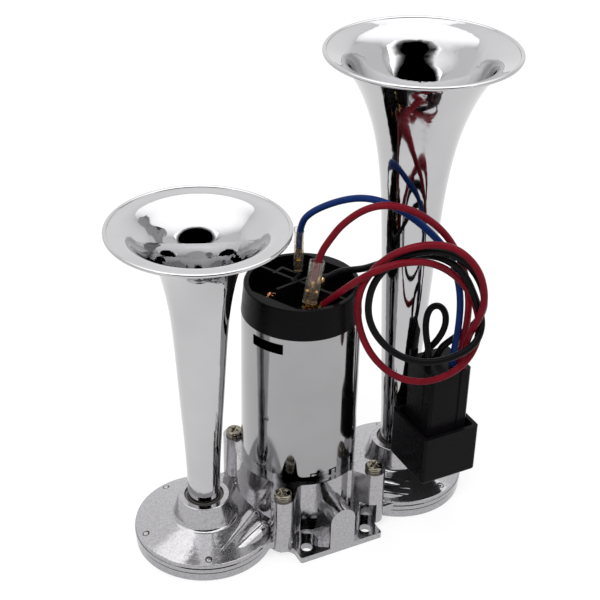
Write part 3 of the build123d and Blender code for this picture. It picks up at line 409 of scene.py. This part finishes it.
cover_rings = [(MIDDLE_R, COVER_FACE_Z)]
for index in range(1, COVER_FACE_RINGS + 1):
    cover_rings.append((MIDDLE_R + index * COVER_RING_W, COVER_FACE_Z))
cover_rings += [(COVER_HEAD_R - 0.2, 0.42), (COVER_HEAD_R, 0.62), (COVER_HEAD_R, 1.98), (COVER_SHANK_R, 2.0)]
for index in range(COVER_TURNS):
    cover_rings += [(COVER_SHANK_R, 2.4 + index * TURN_PITCH),
                    (COVER_SHANK_R - TURN_DEPTH, 2.8 + index * TURN_PITCH)]
cover_rings += [(COVER_SHANK_R - 0.04, 8.0), (1.26, 8.3), (1.26, 9.35), (1.02, 9.72), (0.96, 9.79)]
for side, x, start in (("short", -49.1, 178.0), ("tall", 49.1, 2.0)):
    parts = []
    for index in range(COVER_SCREWS):
        angle = math.radians(start + 360 / COVER_SCREWS * index)
        centre = (x + COVER_CIRCLE * math.cos(angle), COVER_Y + COVER_CIRCLE * math.sin(angle))
        parts.append(screw(centre, cover_rings, 0.3 + 1.1 * index, COVER_CROSS, flip=True))
    stand_in(add_piece(side + "_cover_pan_screws", *gather(parts), cover_steel),
             side + "_cover_screws")

# the frayed copper lead in the left recess of the cap
LEAD_START, LEAD_END = Vector((-14.6, 5.0, 107.3)), Vector((-10.0, 7.4, 108.4))
LEAD_RISE = 3.4
LEAD_STRANDS, LEAD_STEPS, LEAD_TWIST = 7, 24, 7.0
LEAD_HALF_W, LEAD_HALF_H, LEAD_LAG = 0.42, 0.32, 0.8
STRAND_R, LOOSE_R = 0.22, 0.2
LOOSE_STEPS, LOOSE_SIDES = 8, 6
LOOSE_SPREAD, LOOSE_FORWARD, LOOSE_UP, LOOSE_DROOP = 1.6, 1.5, 2.0, 1.1
LOOSE_ENDS = ((-13.0, 6.3, 109.6, -0.9), (-12.2, 5.4, 110.2, 0.5), (-11.2, 7.0, 110.0, 1.1))  # x, y, z, lean
STRAND_UP = Vector((0.2, 0.9, 0.4))


def strand(points, radius, sides=8):
    """A thin copper strand that follows these points, with closed ends."""
    vertices, faces = [], []
    for index, place in enumerate(points):
        ahead = Vector(points[min(index + 1, len(points) - 1)])
        behind = Vector(points[max(index - 1, 0)])
        along = (ahead - behind).normalized()
        side = along.cross(STRAND_UP).normalized()
        other = along.cross(side)
        for step in range(sides):
            angle = 2 * math.pi * step / sides
            out = (side * math.cos(angle) + other * math.sin(angle)) * radius
            vertices.append(tuple(Vector(place) + out))
    for ring in range(len(points) - 1):
        for step in range(sides):
            a, b = ring * sides + step, ring * sides + (step + 1) % sides
            faces.append((a, b, b + sides, a + sides))
    faces.append(tuple(range(sides))[::-1])
    faces.append(tuple(range((len(points) - 1) * sides, len(points) * sides)))
    return vertices, faces


lead_parts = []
for index in range(LEAD_STRANDS):
    twist = 2 * math.pi * index / LEAD_STRANDS
    points = []
    for step in range(LEAD_STEPS + 1):
        t = step / LEAD_STEPS
        middle = LEAD_START.lerp(LEAD_END, t) + Vector((0, 0, LEAD_RISE * math.sin(math.pi * t)))
        angle = twist + LEAD_TWIST * t
        points.append(tuple(middle + Vector((LEAD_HALF_W * math.cos(angle), LEAD_HALF_W * math.sin(angle),
                                             LEAD_HALF_H * math.sin(angle + LEAD_LAG)))))
    lead_parts.append(strand(points, STRAND_R))
for x, y, z, lean in LOOSE_ENDS:
    loose = []
    for step in range(LOOSE_STEPS + 1):
        t = step / LOOSE_STEPS
        loose.append((x + lean * LOOSE_SPREAD * t, y - LOOSE_FORWARD * t * t,
                      z + LOOSE_UP * t - LOOSE_DROOP * t * t))
    lead_parts.append(strand(loose, LOOSE_R, LOOSE_SIDES))
brush_lead = add_piece("brush_lead_strands", *gather(lead_parts), materials["copper"])
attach(brush_lead, "horn")


# ---- floor, world and lamps ---------------------------------------------------------------------------
def background_mix(tree, seen, unseen):
    """Mixes two shaders: seen for camera, glossy and transmission rays, unseen for the rest."""
    path = tree.nodes.new("ShaderNodeLightPath")
    total = None
    for output in ("Is Camera Ray", "Is Glossy Ray", "Is Transmission Ray"):
        if total is None:
            total = path.outputs[output]
            continue
        step = tree.nodes.new("ShaderNodeMath")
        step.operation = "MAXIMUM"
        tree.links.new(total, step.inputs[0])
        tree.links.new(path.outputs[output], step.inputs[1])
        total = step.outputs[0]
    mix = tree.nodes.new("ShaderNodeMixShader")
    tree.links.new(total, mix.inputs[0])
    tree.links.new(unseen, mix.inputs[1])
    tree.links.new(seen, mix.inputs[2])
    return mix.outputs[0]


WORLD_LIGHT = 0.55           # the world's plain light on the object
FLOOR_HALF, FLOOR_Z = 6.0, -0.0002
PAPER_GREY, PAPER_GLOW = 0.32, 0.72
WHITE = (1, 1, 1, 1)

world = bpy.data.worlds.new("studio")
bpy.context.scene.world = world
world.use_nodes = True
tree = world.node_tree
tree.nodes.clear()
plain = tree.nodes.new("ShaderNodeBackground")
plain.inputs["Color"].default_value = WHITE
plain.inputs["Strength"].default_value = WORLD_LIGHT
white = tree.nodes.new("ShaderNodeBackground")
white.inputs["Color"].default_value = WHITE
white.inputs["Strength"].default_value = 1.0
out = tree.nodes.new("ShaderNodeOutputWorld")
tree.links.new(background_mix(tree, white.outputs[0], plain.outputs[0]), out.inputs["Surface"])

floor_mesh = bpy.data.meshes.new("floor")
floor_mesh.from_pydata([(-FLOOR_HALF, -FLOOR_HALF, 0), (FLOOR_HALF, -FLOOR_HALF, 0),
                        (FLOOR_HALF, FLOOR_HALF, 0), (-FLOOR_HALF, FLOOR_HALF, 0)], [], [(0, 1, 2, 3)])
floor = bpy.data.objects.new("floor", floor_mesh)
floor.location = (0, 0, FLOOR_Z)
bpy.context.scene.collection.objects.link(floor)
paper = bpy.data.materials.new("floor_paper")
paper.use_nodes = True
tree = paper.node_tree
tree.nodes.clear()
matt = tree.nodes.new("ShaderNodeBsdfDiffuse")
matt.inputs["Color"].default_value = (PAPER_GREY, PAPER_GREY, PAPER_GREY, 1)
glow = tree.nodes.new("ShaderNodeEmission")
glow.inputs["Color"].default_value = WHITE
glow.inputs["Strength"].default_value = PAPER_GLOW
both = tree.nodes.new("ShaderNodeAddShader")
tree.links.new(matt.outputs[0], both.inputs[0])
tree.links.new(glow.outputs[0], both.inputs[1])
out = tree.nodes.new("ShaderNodeOutputMaterial")
tree.links.new(background_mix(tree, both.outputs[0], matt.outputs[0]), out.inputs["Surface"])
floor_mesh.materials.append(paper)


LAMP_AIM = Vector((0, 0, 0.1))
CARD_CENTRE = Vector((0, 0, 0.15))
CARD_PEAK = 5.0              # a card's brightness where its curve is at 1; the world's is 1 / CARD_PEAK = 0.2


def lamp(name, place, size, power):
    """A soft lamp that lights the object. Its mirror image is left to the cards."""
    data = bpy.data.lights.new(name, "AREA")
    data.shape = "RECTANGLE"
    data.size, data.size_y = size
    data.energy = power
    item = bpy.data.objects.new(name, data)
    item.location = place
    item.rotation_euler = (LAMP_AIM - Vector(place)).to_track_quat("-Z", "Y").to_euler()
    item.visible_glossy = False
    bpy.context.scene.collection.objects.link(item)


lamp("key", (-0.9, -0.7, 1.3), (0.9, 0.9), 14.0)
lamp("fill", (1.1, -0.6, 0.9), (0.8, 0.8), 5.0)
lamp("top", (0.1, 0.5, 1.5), (1.2, 0.8), 6.0)


def card(name, azimuth, height, distance, size, stops):
    """A soft-edged card that only polished surfaces show: a painted reflection, bright or dark, that lights
    nothing.

    stops are places from the card's middle (0) to its edge (1) with the brightness there,
    and the edge has the world's own, so that no outline shows.
    """
    azimuth, height = math.radians(azimuth), math.radians(height)
    flat = math.cos(height)
    aim = Vector((math.cos(azimuth) * flat, math.sin(azimuth) * flat, math.sin(height)))
    x, y = size[0] / 2, size[1] / 2
    mesh = bpy.data.meshes.new(name)
    mesh.from_pydata([(-x, -y, 0), (x, -y, 0), (x, y, 0), (-x, y, 0)], [], [(0, 1, 2, 3)])
    item = bpy.data.objects.new(name, mesh)
    item.location = CARD_CENTRE + aim * distance
    item.rotation_euler = (-aim).to_track_quat("Z", "Y").to_euler()
    bpy.context.scene.collection.objects.link(item)
    item.visible_camera = False
    item.visible_diffuse = False
    item.visible_transmission = False
    item.visible_shadow = False
    material = bpy.data.materials.new(name)
    material.use_nodes = True
    tree = material.node_tree
    tree.nodes.clear()
    place = tree.nodes.new("ShaderNodeTexCoord")
    scale = tree.nodes.new("ShaderNodeMapping")
    scale.inputs["Scale"].default_value = (1 / x, 1 / y, 1)
    tree.links.new(place.outputs["Object"], scale.inputs["Vector"])
    reach = tree.nodes.new("ShaderNodeVectorMath")
    reach.operation = "LENGTH"
    tree.links.new(scale.outputs["Vector"], reach.inputs[0])
    curve = tree.nodes.new("ShaderNodeFloatCurve")
    tree.links.new(reach.outputs["Value"], curve.inputs["Value"])
    points = curve.mapping.curves[0].points
    while len(points) < len(stops):
        points.new(0.5, 0.5)
    for point, stop in zip(points, stops):
        point.location = stop
    curve.mapping.update()
    gain = tree.nodes.new("ShaderNodeMath")
    gain.operation = "MULTIPLY"
    gain.inputs[1].default_value = CARD_PEAK
    tree.links.new(curve.outputs["Value"], gain.inputs[0])
    light = tree.nodes.new("ShaderNodeEmission")
    tree.links.new(gain.outputs[0], light.inputs["Strength"])
    out = tree.nodes.new("ShaderNodeOutputMaterial")
    tree.links.new(light.outputs[0], out.inputs["Surface"])
    mesh.materials.append(material)


# Painted reflections: a bright overhead highlight, a slightly brighter band behind, and a dark patch towards
# the camera.
card("overhead_card", 250, 86, 1.5, (5.4, 4.8),
     ((0.0, 0.60), (0.3, 0.48), (0.6, 0.39), (0.85, 0.27), (1.0, 0.2)))
card("back_card", 75, 30, 1.7, (5.2, 2.4),
     ((0.0, 0.250), (0.4, 0.245), (0.75, 0.23), (1.0, 0.2)))
card("dark_card", 250, 30, 0.5, (1.06, 0.34),
     ((0.0, 0.004), (0.8, 0.008), (0.9, 0.06), (1.0, 0.2)))
